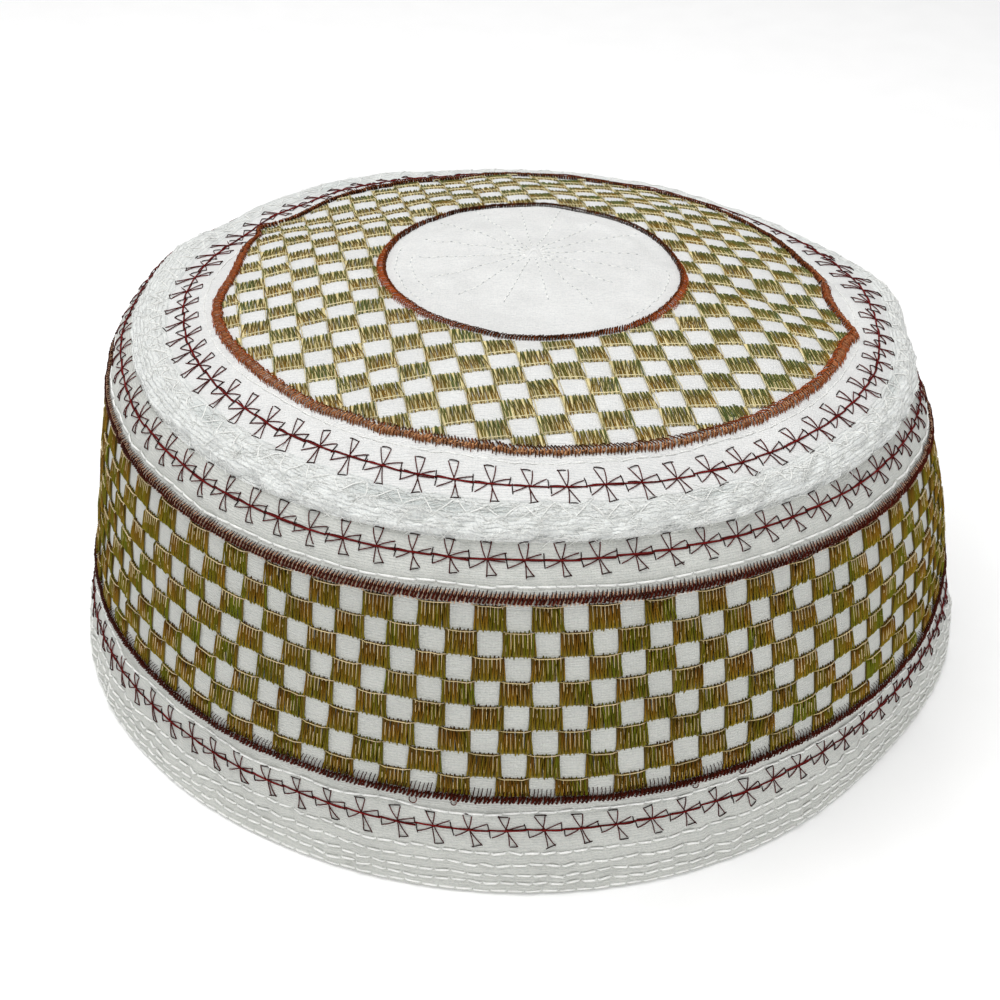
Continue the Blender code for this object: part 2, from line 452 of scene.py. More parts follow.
def maths(tree, operation, *terms):
    """The result of a math node; each term is another node's output or a number."""
    made = node(tree, "ShaderNodeMath", operation=operation)
    for socket, term in zip(made.inputs, terms):
        feed(tree, socket, term)
    return made.outputs[0]


def waves(tree, source, pitch):
    """A sine wave along a coordinate, whose crests and troughs are a pitch apart."""
    return maths(tree, "SINE", maths(tree, "MULTIPLY", source, math.pi / pitch))


def ramp(tree, source, *stops):
    """A colour ramp from (position, colour) stops."""
    made = node(tree, "ShaderNodeValToRGB")
    elements = made.color_ramp.elements
    elements[0].position, elements[0].color = stops[0][0], (*stops[0][1], 1)
    elements[1].position, elements[1].color = stops[-1][0], (*stops[-1][1], 1)
    for position, colour in stops[1:-1]:
        elements.new(position).color = (*colour, 1)
    feed(tree, made.inputs["Fac"], source)
    return made.outputs[0]


def mixed(tree, mode, share, first, second):
    """Two colours mixed; the share and each colour may be another node's output."""
    made = node(tree, "ShaderNodeMix", data_type="RGBA", blend_type=mode)
    for socket, term in ((0, share), (6, first), (7, second)):
        feed(tree, made.inputs[socket], term)
    return made.outputs[2]


def srgb(text):
    """A linear colour from a hexadecimal one."""
    values = [int(text[place : place + 2], 16) / 255 for place in (1, 3, 5)]
    return tuple(v / 12.92 if v <= 0.04045 else ((v + 0.055) / 1.055) ** 2.4 for v in values)


def noise(tree, place, scale, detail):
    made = node(tree, "ShaderNodeTexNoise")
    settle(made, {"Scale": scale, "Detail": detail})
    feed(tree, made.inputs["Vector"], place)
    return made.outputs[0]


def emboss(tree, shader, height, strength, distance):
    """Fine bump on the shader, from a height and its depth in metres."""
    made = node(tree, "ShaderNodeBump")
    settle(made, {"Strength": strength, "Distance": distance})
    feed(tree, made.inputs["Height"], height)
    feed(tree, shader.inputs["Normal"], made.outputs["Normal"])


def fresh_material(name):
    material = bpy.data.materials.new(name)
    material.use_nodes = True
    return material, material.node_tree, material.node_tree.nodes["Principled BSDF"]


def cotton(name, colour, rib=0.5, depth=0.5, blotches=90.0, dimming=0.94):
    """Ribbed plain-woven cotton, whose threads run along the cloth coordinates in millimetres."""
    material, tree, shader = fresh_material(name)
    across, up, hollow = attribute(tree, "cloth")
    place = node(tree, "ShaderNodeNewGeometry").outputs["Position"]
    stretch = node(tree, "ShaderNodeCombineXYZ")
    feed(tree, stretch.inputs[0], maths(tree, "MULTIPLY", across, 0.5))
    feed(tree, stretch.inputs[1], maths(tree, "MULTIPLY", up, 2.0))
    slub = noise(tree, stretch.outputs[0], 1.0, 2.0)
    fibre = noise(tree, place, 2600.0, 3.0)
    cloudy = noise(tree, place, blotches, 4.0)
    drift = maths(tree, "MULTIPLY", slub, 0.9)
    warp, weft = (
        maths(tree, "ABSOLUTE", waves(tree, maths(tree, "ADD", axis, drift), rib)) for axis in (across, up)
    )
    crossing = maths(tree, "MULTIPLY", maths(tree, "ADD", warp, 0.8), weft)
    rough = maths(tree, "ADD", fibre, maths(tree, "MULTIPLY", slub, 1.5))
    emboss(tree, shader, maths(tree, "ADD", crossing, rough), depth, WEAVE_DEPTH)
    shade = ramp(tree, cloudy, (0.38, tuple(dimming * channel for channel in colour)), (0.62, colour))
    # Painted shade in the weave: the cotton is darker in the pits of its fibre noise and in the furrows of
    # its weft, the low places of its bump.
    pit_shade = ramp(tree, fibre, (0.30, (0.90, 0.91, 0.92)), (0.55, WHITE))
    furrow_shade = ramp(tree, weft, (0.0, (0.86, 0.87, 0.88)), (0.5, WHITE))
    ribbed = mixed(tree, "MULTIPLY", 1.0, mixed(tree, "MULTIPLY", 1.0, shade, pit_shade), furrow_shade)
    # Painted shade: the third cloth channel greys the cotton in the seam's flat hollows.
    feed(tree, shader.inputs["Base Color"], mixed(tree, "MULTIPLY", hollow, ribbed, (0.80, 0.82, 0.82)))
    settle(shader, {"Roughness": 0.85, "Specular IOR Level": 0.2})
    settle(shader, {"Sheen Weight": 0.2, "Sheen Roughness": 0.5})
    return material


def embroidery_thread(name, along, second, gloss=0.10, spread=0.22):
    """Twisted shiny thread: the ramp runs along each stitch, and each stitch leans to the second colour."""
    material, tree, shader = fresh_material(name)
    share, chance, twist = attribute(tree, "thread")
    hue = attribute(tree, "hue")[0]
    base = ramp(tree, share, *((position, srgb(colour)) for position, colour in along))
    varied = mixed(tree, "MIX", hue, base, srgb(second))
    light = ramp(tree, chance, (0.0, (1 - spread,) * 3), (1.0, (1 + spread,) * 3))
    feed(tree, shader.inputs["Base Color"], mixed(tree, "MULTIPLY", 1.0, varied, light))
    emboss(tree, shader, waves(tree, twist, TWIST / 2), 0.35, TWIST_DEPTH)
    settle(shader, {"Roughness": 0.55, "Specular IOR Level": gloss})
    return material


def ring_faces(rows):
    """Faces between rings of points given as (first index, count); a count may halve, double, or be one."""
    faces = []
    for (low, many), (high, fewer) in zip(rows, rows[1:]):
        if fewer > many:
            faces += [face[::-1] for face in ring_faces([(high, fewer), (low, many)])]
        elif fewer == many:
            for k in range(many):
                ahead = (k + 1) % many
                faces.append((low + k, low + ahead, high + ahead, high + k))
        elif fewer == many // 2:
            for k in range(fewer):
                ahead, left, middle = (k + 1) % fewer, low + 2 * k, low + 2 * k + 1
                right = low + (2 * k + 2) % many
                faces += [(left, middle, high + k), (middle, high + ahead, high + k)]
                faces.append((middle, right, high + ahead))
        else:
            faces += [(low + k, low + (k + 1) % many, high) for k in range(many)]
    return faces


# Points in each ring of the cloth, and the cloth coordinate at which the lining starts.
AROUND = 512
AZIMUTHS = np.arange(AROUND) / AROUND * FULL_TURN
LINING = 200.0


def cloth_mesh(name, points, cloth, faces, material):
    """A mesh piece of cloth from its rings of points and of cloth coordinates."""
    piece = new_mesh(name, np.concatenate(points), faces, material, (("cloth", np.concatenate(cloth)),))
    return piece


def closed_band(name, rings, girth, material):
    """A band of cloth from rings of points, each with its length of cloth and its share of painted shade."""
    cloth = [np.stack(np.broadcast_arrays(AZIMUTHS * girth, *ring[1:]), -1) for ring in rings]
    rows = [(index * AROUND, AROUND) for index in range(len(rings))]
    return cloth_mesh(name, [ring[0] for ring in rings], cloth, ring_faces(rows + [rows[0]]), material)


def fine_lengths(low, high, rows, step):
    """Lengths of cloth for a panel's rings: evenly apart, and close together beside its rows of stitching."""
    start, end = length_at(low), length_at(high)
    places = list(np.linspace(start, end, int(round((end - start) / step)) + 1))
    for middle in (length_at(row) for row in rows):
        places = [place for place in places if abs(place - middle) > 0.95 or place in (start, end)]
        places += [middle + offset for offset in (-0.7, -0.3, 0.0, 0.3, 0.7) if start < middle + offset < end]
    return np.array(sorted(places))


def make_wall(material):
    """The side wall: one closed band, folded round at the hem."""
    outer = level_at(fine_lengths(0.014, WALL_TOP, (*HEM_ROWS, LOWER_RUN, UPPER_RUN), 1.4))
    inner = level_at(np.linspace(length_at(WALL_TOP), length_at(0.06), 13))
    places = [(level, 0.0) for level in outer] + [(level, -CLOTH) for level in inner]
    places += [(0.03, -CLOTH + 0.1), (0.0, -1.9), (0.0, -1.2), (0.0, -0.6), (0.0, -0.1)]
    rings = []
    for level, offset in places:
        levels = np.full(AROUND, level)
        height = relief(levels, AZIMUTHS) * (0.5 if offset else 1.0) + offset
        ring = raised(levels, AZIMUTHS, height)
        ring[:, 2] = np.maximum(ring[:, 2], 0.0)
        rings.append((ring, length_at(level) + (LINING + offset if offset else 0.0), 0.0))
    piece = closed_band("wall_cloth", rings, 84.0, material)
    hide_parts("wall")


def crown_counts(level):
    """How many points a ring of the crown has, fewer towards the middle."""
    radius = radius_at(level)
    for limit, share in ((5.0, 16), (10.0, 8), (20.0, 4), (41.0, 2)):
        if radius < limit:
            return AROUND // share
    return AROUND


def make_crown(material):
    """The crown: one closed dome-shaped panel."""
    outer = level_at(fine_lengths(CROWN_RIM, TOP_LEVEL, (CROWN_RUN,), 0.95)[:-1])
    inner = level_at(np.linspace(length_at(TOP_LEVEL), length_at(CROWN_RIM), 24)[1:])
    pole = float(TOP_LEVEL)
    places = [(level, 0.0) for level in (*outer, pole)] + [(level, -CLOTH) for level in (pole, *inner)]
    points, cloth, rows, start = [], [], [], 0
    for level, offset in places:
        count = 1 if level >= pole else crown_counts(level)
        angle = np.arange(count) / count * FULL_TURN
        levels = np.full(count, level)
        height = relief(levels, angle) * (0.4 if offset else 1.0) + offset
        ring = raised(levels, angle, height)
        points.append(ring)
        cloth.append(ring * (1.0, 1.0, 0.0))
        rows.append((start, count))
        start += count
    outer_rows, inner_rows = rows[: len(outer) + 1], rows[len(outer) + 1 :]
    faces = ring_faces(outer_rows) + ring_faces(inner_rows) + ring_faces([inner_rows[-1], outer_rows[0]])
    piece = cloth_mesh("crown_cloth", points, cloth, faces, material)
    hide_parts("crown")


# Flat hollows beside the seam's ridge: azimuth, level, half width in degrees and half height in levels.
# The seam's cotton is greyed in these hollows as painted shade.
HOLLOWS = (
    (-108.5, 6.24, 3.6, 0.20),
    (-103.0, 6.20, 3.4, 0.19),
    (-98.6, 6.16, 2.2, 0.17),
    (-93.3, 6.18, 2.0, 0.14),
    (-64.0, 6.25, 3.0, 0.15),
    (-140.0, 6.25, 4.0, 0.16),
    (-20.0, 6.25, 4.0, 0.16),
    (35.0, 6.22, 4.5, 0.17),
    (80.0, 6.25, 4.0, 0.15),
    (128.0, 6.2, 4.5, 0.17),
)

# Where the seam stands higher or lower than elsewhere: azimuth and spread in degrees, millimetres.
SEAM_RISES = ((54.0, 34.0, 1.4), (150.0, 9.0, -0.9), (7.0, 9.0, -0.6))


def hollow_share(level, angle):
    """How much a place of the seam lies in one of its flat hollows, from 0 to 1."""
    total = np.zeros_like(angle)
    for azimuth, middle, half_width, half_height in HOLLOWS:
        turned = (np.degrees(angle) - azimuth + 180) % 360 - 180
        total += np.exp(-((turned / half_width) ** 4) - ((level - middle) / half_height) ** 4)
    return np.clip(total, 0.0, 1.0)


def seam_lift(level, angle):
    """Height of the gathered seam over the surface under it; nought outside its span."""
    low, high = SEAM_SPAN
    front = near_azimuth(angle, -90.0, 80.0)
    wander = 0.09 * lumps(wrapped(low, angle, 1.0, 0.0), 6.0, 31) * front
    part = np.clip((level - low - np.maximum(wander, -0.02)) / (high - low), 0.0, 1.0)
    swell = step_up(part, 0.0, 0.09) * (1 - step_up(part, 0.50, 1.0))
    folds = 0.24 * lumps(wrapped(level, angle, 0.55, 1.0), 1.9, 32)
    folds += 0.20 * lumps(wrapped(level, angle, 1, 1), 3.6, 33)
    uneven = sum(rise * near_azimuth(angle, azimuth, spread) for azimuth, spread, rise in SEAM_RISES)
    height = 1.15 + uneven + (0.2 + 0.8 * front) * folds
    hollow = 1 - 0.75 * hollow_share(level, angle)
    return swell * height * hollow + 0.12 * step_up(part, 0.0, 0.05) * (1 - step_up(part, 0.9, 1.0))


def make_seam(material):
    """The raised seam where wall and crown meet."""
    low, high = (length_at(level) for level in SEAM_SPAN)
    places = [(level, True) for level in level_at(np.linspace(low, high, 26))]
    places += [(level, False) for level in level_at(np.linspace(high, low, 6))]
    rings = []
    for level, over in places:
        levels = np.full(AROUND, level)
        lift = 0.04 + seam_lift(levels, AZIMUTHS) if over else -0.2
        ring, _ = cap_place(levels, AZIMUTHS, lift)
        # The third cloth channel is the share of painted shade in the seam's flat hollows.
        rings.append((ring, length_at(level), hollow_share(levels, AZIMUTHS)))
    piece = closed_band("seam_cloth", rings, 76.0, material)
    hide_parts("seam_welt")


def strip_middles(parts, count):
    """Where the middles of equal strips lie across each of several squares."""
    return np.tile((np.arange(parts) + 0.5) / parts, count)[:, None]


def teeth_strokes(count, teeth, rng):
    """Both legs of each tooth in unit squares, from the foot up: x and y of their ends."""
    heads = 0.02 + 0.96 * (np.arange(teeth) + 0.5) / teeth + rng.normal(0, 0.035, (count, 1))
    heads = heads + rng.normal(0, 0.16 / teeth, (count, teeth))
    feet = np.arange(teeth + 1) / teeth + rng.normal(0, 0.16 / teeth, (count, teeth + 1))
    first = np.stack((feet[:, :-1], heads), -1)
    second = np.stack((feet[:, 1:], heads), -1)
    x = np.stack((first, second), 2).reshape(-1, 2)
    y = np.array((0.0, 1.0)) + rng.normal(0, 0.025, (len(x), 2))
    return np.clip(x, -0.01, 1.01), y


STITCH_SHARES = np.array((0.0, 0.13, 0.87, 1.0))
STITCH_LIFTS = np.array((-0.05, 0.42, 0.42, -0.05))


def along(ends, share=STITCH_SHARES):
    """Points along straight stitches from their two ends."""
    return ends[:, :1] + (ends[:, 1:] - ends[:, :1]) * share


def make_wall_checks(material, ground, cream):
    """Brown squares of the wall: pointed teeth over a dark ground, light slits, and a thin line on top."""
    rng = np.random.default_rng(41)
    teeth = 8
    rows, pairs = np.meshgrid(np.arange(WALL_ROWS), np.arange(WALL_PAIRS), indexing="ij")
    rows, pairs = rows.ravel(), pairs.ravel()
    count = len(rows)
    pitch = 360.0 / WALL_PAIRS
    azimuth = WALL_FIRST_AZIMUTH + pitch * (pairs + 0.5 * (rows % 2)) + WALL_LEAN * rows
    half = pitch * WALL_BROWN_SHARE / 2
    top = length_at(WALL_CHECK_TOP) - rows * WALL_ROW_PITCH
    bottom = np.maximum(top - WALL_ROW_PITCH, length_at(WALL_CHECK_FOOT))
    left = azimuth - half + rng.normal(0, 0.05, count)
    right = azimuth + half + rng.normal(0, 0.05, count)

    def within(cell, x, y):
        """Levels and angles at shares of the squares' widths and heights."""
        angle = np.radians(left[cell, None] + (right - left)[cell, None] * x)
        return level_at(bottom[cell, None] + (top - bottom)[cell, None] * y), angle

    squares = np.arange(count)
    cell = np.repeat(squares, 2 * teeth)
    x, y = (along(ends) for ends in teeth_strokes(count, teeth, rng))
    level, angle = within(cell, x, -0.02 + 1.03 * y)
    lift = STITCH_LIFTS + rng.normal(0, 0.03, (len(cell), 1))
    tone = patchy(level, angle, rng)
    legs = strands(level, angle, lift, 0.33, 0.3, rng.uniform(size=len(cell)), tone)
    piece = thread_piece("wall_checks", [legs], material)
    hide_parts("wall_checker")
    strips = 4
    cell = np.repeat(squares, strips)
    x = strip_middles(strips, count)
    level, angle = within(cell, x, 0.02 + 0.96 * STITCH_SHARES)
    beds = strands(level, angle, 0.12, 5.6 / strips, 0.12, rng.uniform(size=len(cell)))
    thread_piece("wall_check_ground", [beds], ground)
    level, angle = within(squares, np.linspace(-0.05, 1.05, 5), 0.985 + rng.normal(0, 0.012, (count, 5)))
    lift = (0.0, 0.60, 0.62, 0.60, 0.0)
    lines = strands(level, angle, lift, 0.16, 0.14, rng.uniform(size=count), sides=4)
    cell = np.repeat(squares, teeth - 1)
    x = np.tile(np.arange(1, teeth) / teeth, count)[:, None] + rng.normal(0, 0.008, (len(cell), 1))
    low_rows = (rows[cell] >= 5)[:, None]
    foot = np.where(low_rows, rng.uniform(0.0, 0.15, (len(cell), 1)), rng.uniform(0.0, 0.55, (len(cell), 1)))
    head = np.where(low_rows, rng.uniform(0.6, 0.98, (len(cell), 1)), 0.98)
    level, angle = within(cell, x, foot + (head - foot) * np.array((0.0, 0.3, 1.0)))
    slits = strands(level, angle, (0.1, 0.46, 0.40), (0.14, 0.20, 0.22), 0.2, rng.uniform(size=len(cell)))
    thread_piece("wall_check_lines", [lines, slits], cream)


def patchy(level, angle, rng):
    """How far each stitch leans to the second colour of its thread, changing in patches over the cloth."""
    places = bare_point(level[:, 1], angle[:, 1])
    return np.clip(0.32 + 0.30 * lumps(places, 5.0, 42) + rng.normal(0, 0.2, len(places)), 0.0, 1.0)


def clipped(column, row, span):
    """Straight stitches in the crown's checks, cut to a span of levels; those outside it are left out."""
    share = np.linspace(0.0, 1.0, 17)
    level, angle = from_plan(*crown_place(along(column, share), along(row, share)))
    inside = (length_at(level) > length_at(span[0]) + edging_drift(angle)) & (level < span[1])
    kept = inside.sum(1) >= 3
    first = share[np.argmax(inside, axis=1)]
    last = share[len(share) - 1 - np.argmax(inside[:, ::-1], axis=1)]
    cut = np.stack((first, last), -1)
    return along(column, cut)[kept], along(row, cut)[kept]


def make_crown_checks(material, gold, cream):
    """Brown squares of the crown: thin teeth over gold thread, with pale lines along their sides."""
    rng = np.random.default_rng(51)
    teeth = 8
    columns, rows = np.meshgrid(np.arange(-12, 16), np.arange(-24, 8), indexing="ij")
    odd = (columns + rows) % 2 != 0
    columns, rows = columns[odd].astype(float), rows[odd].astype(float)
    x, y = crown_place(columns, rows)
    near = np.hypot(x, y) < 70
    columns, rows = columns[near], rows[near]
    count = len(columns)
    left = columns - CROWN_BROWN_SHARE + rng.normal(0, 0.012, count)
    right = columns + CROWN_BROWN_SHARE + rng.normal(0, 0.012, count)

    def laid(cell, x, y, lift, width, thickness, patches=False):
        """Threads between two places in the squares, given in shares of their widths and heights."""
        column = left[cell, None] + (right - left)[cell, None] * x
        row = rows[cell, None] + 0.5 - y
        column, row = clipped(column, row, CROWN_CHECK_SPAN)
        level, angle = from_plan(*crown_place(along(column), along(row)))
        tone = patchy(level, angle, rng) if patches else None
        return strands(level, angle, lift, width, thickness, rng.uniform(size=len(column)), tone)

    squares = np.arange(count)
    x, y = teeth_strokes(count, teeth, rng)
    cell = np.repeat(squares, 2 * teeth)
    lean = rng.normal(0, 0.06, count)[cell, None]
    legs = laid(cell, np.clip(x + lean * y, 0.0, 1.0), -0.03 + 1.07 * y, STITCH_LIFTS, 0.225, 0.26, True)
    piece = thread_piece("crown_checks", [legs], material)
    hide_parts("crown_checker")
    strips = 5
    cell = np.repeat(squares, strips)
    x = strip_middles(strips, count) * np.ones(2)
    beds = laid(cell, x, np.array((0.0, 1.0)), 0.14, 5.6 / strips, 0.1)
    # Painted highlight: short raised strands of the gold thread over the lower half of each square stand for
    # glints.
    cell = np.repeat(squares, teeth)
    x = strip_middles(teeth, count) * np.ones(2) + rng.normal(0, 0.01, (len(cell), 1))
    y = np.array((0.02, 0.55)) + rng.normal(0, 0.08, (len(cell), 2))
    glints = laid(cell, x, y, (0.1, 0.38, 0.38, 0.2), 0.22, 0.2)
    thread_piece("crown_check_fill_and_glints", [beds, glints], gold)
    across = np.broadcast_to((-0.03, 1.03), (count, 2))
    lines = [laid(squares, across, np.full((count, 2), 0.02), (0.0, 0.56, 0.56, 0.0), 0.18, 0.18)]
    for side in (-0.015, 1.015):
        edge = np.full((count, 2), side) + rng.normal(0, 0.012, (count, 2))
        whole = np.broadcast_to((0.0, 1.0), (count, 2))
        lines.append(laid(squares, edge, whole, (0.0, 0.5, 0.5, 0.0), 0.16, 0.16))
    thread_piece("crown_check_lines", lines, cream)


EDGING_SHARES = np.array((0.0, 0.16, 0.80, 1.0))


class Edging:
    """Satin stitches side by side right round the cap, in courses laid over one another."""

    def __init__(self, level, pitch, seed):
        self.rng = np.random.default_rng(seed)
        self.count = int(round(FULL_TURN * radius_at(level) / pitch))
        self.azimuth = FULL_TURN / self.count * (np.arange(self.count) + self.rng.normal(0, 0.06, self.count))
        self.half = pitch / 2 / radius_at(level)

    def course(self, shift, low, high, slant, lifts, widths, tone=None, chosen=slice(None)):
        """Stitches between two lengths of cloth, shifted by half pitches; tone may be a range."""
        azimuth = (self.azimuth + shift * self.half)[chosen]
        count, rng = len(azimuth), self.rng
        if isinstance(tone, tuple):
            tone = rng.uniform(*tone, count)
        low, high = (np.broadcast_to(end, self.count)[chosen] for end in (low, high))
        low, high = low + rng.normal(0, 0.09, count), high + rng.normal(0, 0.09, count)
        level = level_at(low[:, None] + (high - low)[:, None] * EDGING_SHARES)
        angle = azimuth[:, None] + slant / radius_at(level[:, 2:3]) * EDGING_SHARES
        lift = np.asarray(lifts) + rng.normal(0, 0.03, (count, 1))
        width = np.broadcast_to(widths, level.shape) * rng.uniform(0.88, 1.12, (count, 1))
        tone = rng.uniform(0.0, 0.6, count) if tone is None else tone
        return strands(level, angle, lift, width, 0.55 * width, rng.uniform(size=count), tone)


def make_upper_edging(maroon, pale):
    """The wall's upper edging: slanted satin, with thin dark teeth over it and pale tips under it."""
    foot, low, high, tip = (length_at(level) for level in UPPER_EDGING_SPAN)
    edging = Edging(UPPER_EDGING_SPAN[1], 0.68, 61)
    satin = [
        edging.course(0, low, high, 0.85, (0.0, 0.75, 0.8, 0.3), (0.28, 0.44, 0.38, 0.18)),
        edging.course(1, low, high - 0.1, -0.1, (0.0, 0.5, 0.6, 0.1), (0.26, 0.34, 0.28, 0.14), (0.2, 0.7)),
        edging.course(
            1.6, high - 0.45, tip, 0.3, (0.7, 0.62, 0.2, 0.0), (0.34, 0.34, 0.16, 0.06), (0.3, 0.8)
        ),
    ]
    piece = thread_piece("wall_upper_satin", satin, maroon)
    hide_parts("wall_upper_edging")
    tips = [
        edging.course(1, foot - 0.2, low + 0.3, 0.1, (0.0, 0.2, 0.4, 0.4), (0.14, 0.2, 0.22, 0.2)),
        edging.course(1.2, low + 0.1, high + 0.35, 0.6, (0.1, 0.5, 0.6, 0.1), (0.12, 0.18, 0.20, 0.12)),
    ]
    thread_piece("wall_upper_tips", tips, pale)


def make_lower_edging(material):
    """The wall's lower edging: slanted satin with thin teeth that reach up into the checks."""
    low, high, tip = (length_at(level) for level in LOWER_EDGING_SPAN)
    edging = Edging(LOWER_EDGING_SPAN[1], 0.70, 62)
    satin = [
        edging.course(0, low, high, 0.8, (0.0, 0.75, 0.8, 0.5), (0.30, 0.48, 0.42, 0.24)),
        edging.course(1, low + 0.1, high, -0.1, (0.0, 0.5, 0.6, 0.3), (0.32, 0.44, 0.40, 0.24), (0.2, 0.7)),
        edging.course(1, high - 0.5, tip, 0.35, (0.8, 0.75, 0.6, 0.0), (0.26, 0.26, 0.2, 0.14), (0.4, 0.9)),
        loose_loops(low, edging.rng),
    ]
    piece = thread_piece("wall_lower_satin", satin, material)
    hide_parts("wall_lower_edging")


# Small loose loops of thread that hang from the lower edging: azimuth and width.
LOOPS = ((-100.6, 1.3), (-96.2, 0.9), (-69.5, 1.0), (-63.4, 1.2), (48.0, 1.1), (150.0, 1.2))


def loose_loops(length, rng):
    turn = np.linspace(0.15, 0.85, 9) * FULL_TURN
    azimuth, width = np.array(LOOPS).T[:, :, None]
    level = level_at(length - 0.5 * width * (1 - np.cos(turn)))
    angle = np.radians(azimuth) + 0.5 * width * np.sin(turn) / radius_at(level)
    return strands(level, angle, 0.3, 0.2, 0.18, rng.uniform(size=len(LOOPS)), sides=4)


def rust_share(edging):
    """The crown's edgings turn from dark brown at front and back to rust at the left and right."""
    azimuth = edging.azimuth
    share = near_azimuth(azimuth, 195.0, 42.0) + 0.8 * near_azimuth(azimuth, -25.0, 34.0)
    return np.clip(share + edging.rng.normal(0, 0.12, edging.count), 0.0, 1.0)


def make_outer_edging(rust, brown):
    """The crown's outer edging: rust satin between short dark dashes, and a thin dark line behind."""
    edging = Edging(OUTER_EDGING_LEVEL, 0.58, 63)
    azimuth, count, rng = edging.azimuth, edging.count, edging.rng
    middle = length_at(OUTER_EDGING_LEVEL) + edging_drift(azimuth)
    front = near_azimuth(azimuth, -85.0, 50.0)
    behind = np.clip(1.6 * near_azimuth(azimuth, 92.0, 62.0), 0.0, 1.0)
    rusty = rust_share(edging)
    uneven = 0.14 * (1 - behind)
    low = middle - 0.95 + 0.20 * front + 0.75 * behind + uneven * rng.normal(size=count)
    high = middle + 0.95 - 0.70 * front - 0.75 * behind + uneven * rng.normal(size=count)
    tone = 0.25 * rng.uniform(size=count) + 0.7 * front
    body = edging.course(0, low, high, 0.45, (0.0, 0.7, 0.8, 0.3), (0.30, 0.36, 0.36, 0.26), tone)
    tone = 0.5 * rng.uniform(size=count) * (1 - 0.5 * front) + 0.4 * front
    between = edging.course(
        1, low + 0.15, high - 0.1, 0.2, (0.0, 0.5, 0.5, 0.1), (0.28, 0.38, 0.38, 0.26), tone
    )
    piece = thread_piece("crown_outer_satin", [body, between], rust)
    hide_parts("crown_outer_edging")
    inside, foot = high - 0.35 - 0.15 * front, low - 0.22 - 0.15 * front
    top = high + 0.08 + 0.95 * front
    far = behind > 0.35
    dashes = [
        edging.course(1, inside, top, -0.55, (0.9, 0.92, 0.55, 0.0), (0.26, 0.34, 0.34, 0.24), rusty),
        edging.course(0, foot, low + 0.35, 0.1, (0.0, 0.3, 0.8, 0.8), (0.16, 0.22, 0.26, 0.24), rusty),
        edging.course(
            1, middle - 0.36, middle + 0.34, 0.3, (0.1, 0.8, 0.8, 0.1), (0.26, 0.36, 0.34, 0.24),
            np.zeros(far.sum()), far,
        ),
    ]
    thread_piece("crown_outer_dashes", dashes, brown)


def make_inner_edging(brown):
    """Thin and dark at the front and back of the disc, thick and red at its sides, frayed into the checks."""
    high = length_at(INNER_EDGING_TOP)
    edging = Edging(INNER_EDGING_TOP, 0.52, 64)
    azimuth = edging.azimuth
    low = high - (0.65 + 1.0 * near_azimuth(azimuth, 195.0, 38.0) + 0.95 * near_azimuth(azimuth, -25.0, 26.0))
    rusty = rust_share(edging)
    satin = edging.course(0, low, high, 0.55, (0.0, 0.65, 0.65, 0.0), (0.28, 0.40, 0.38, 0.26), rusty)
    rope = edging.course(
        1, high - 0.5, high + 0.05, 0.5, (0.3, 0.8, 0.7, 0.0), (0.22, 0.30, 0.28, 0.2), 0.25 * rusty
    )
    fringe = 0.15 + 0.9 * near_azimuth(azimuth, -128.0, 26.0) + 0.35 * near_azimuth(azimuth, -30.0, 40.0)
    foot = low - fringe * edging.rng.uniform(0.3, 1.0, edging.count)
    tone = np.clip(0.25 + rusty, 0.0, 1.0)
    frayed = edging.course(0, foot, low + 0.3, 0.1, (0.0, 0.5, 0.6, 0.6), (0.16, 0.22, 0.24, 0.22), tone)
    piece = thread_piece("crown_inner_satin", [satin, rope, frayed], brown)
    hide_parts("crown_inner_edging")


# One pinwheel, as stitches from point to point in half widths and half heights round its middle.
PINWHEEL = (
    ((0.0, 0.0), (-0.45, 0.88)),
    ((-0.45, 0.88), (0.10, 0.90)),
    ((0.10, 0.90), (0.0, 0.0)),
    ((0.0, 0.0), (0.92, 0.36)),
    ((0.94, 0.38), (1.0, -0.06)),
    ((1.0, -0.02), (0.0, 0.0)),
    ((0.0, 0.0), (0.14, -1.0)),
    ((0.14, -1.0), (0.62, -0.92)),
    ((0.62, -0.92), (0.0, 0.0)),
    ((0.0, 0.0), (-0.84, -0.46)),
    ((-0.84, -0.46), (-0.9, 0.06)),
    ((-0.9, 0.04), (0.0, 0.0)),
    ((-1.02, 0.03), (1.02, -0.03)),
)


def make_motifs(name, material):
    """A row of pinwheels linked by a line through their middles."""
    level, count, azimuth, half_width, half_height = MOTIF_ROWS[name]
    rng = np.random.default_rng(sum(map(ord, name)))
    middle = np.radians(azimuth + 360.0 / count * np.arange(count))
    link_half = math.pi * radius_at(level) / count
    share = np.linspace(0.0, 1.0, 5)
    parts = []
    for ends in np.array(PINWHEEL):
        linking = abs(ends[0, 0]) > 1.0
        across = ends[:, 0] * half_width + rng.normal(0, 0.12, (count, 2))
        up = ends[:, 1] * half_height + rng.normal(0, 0.12, (count, 2))
        if linking:
            across = np.broadcast_to((-1.04 * link_half, 1.04 * link_half), (count, 2))
        bow = 0.0 if linking else 0.10 * share * (1 - share)
        run_across, run_up = np.diff(across), np.diff(up)
        across, up = along(across, share) - run_up * bow, along(up, share) + run_across * bow
        levels, angles = moved(level, middle[:, None], across, up)
        from_middle = np.hypot(across / half_width, up / half_height)
        tone = np.clip(1.0 - from_middle[:, 2] * 1.2, 0.0, 1.0)
        faint = 0.07 * near_azimuth(middle, 105.0, 45.0)[:, None]
        width = 0.42 if linking else 0.23 - faint
        lift = np.array((0.06, 0.18, 0.2, 0.18, 0.06)) + seam_lift(levels, angles)
        parts.append(strands(levels, angles, lift, width, 0.24, rng.uniform(size=count), tone))
    thread_piece(name, parts, material)


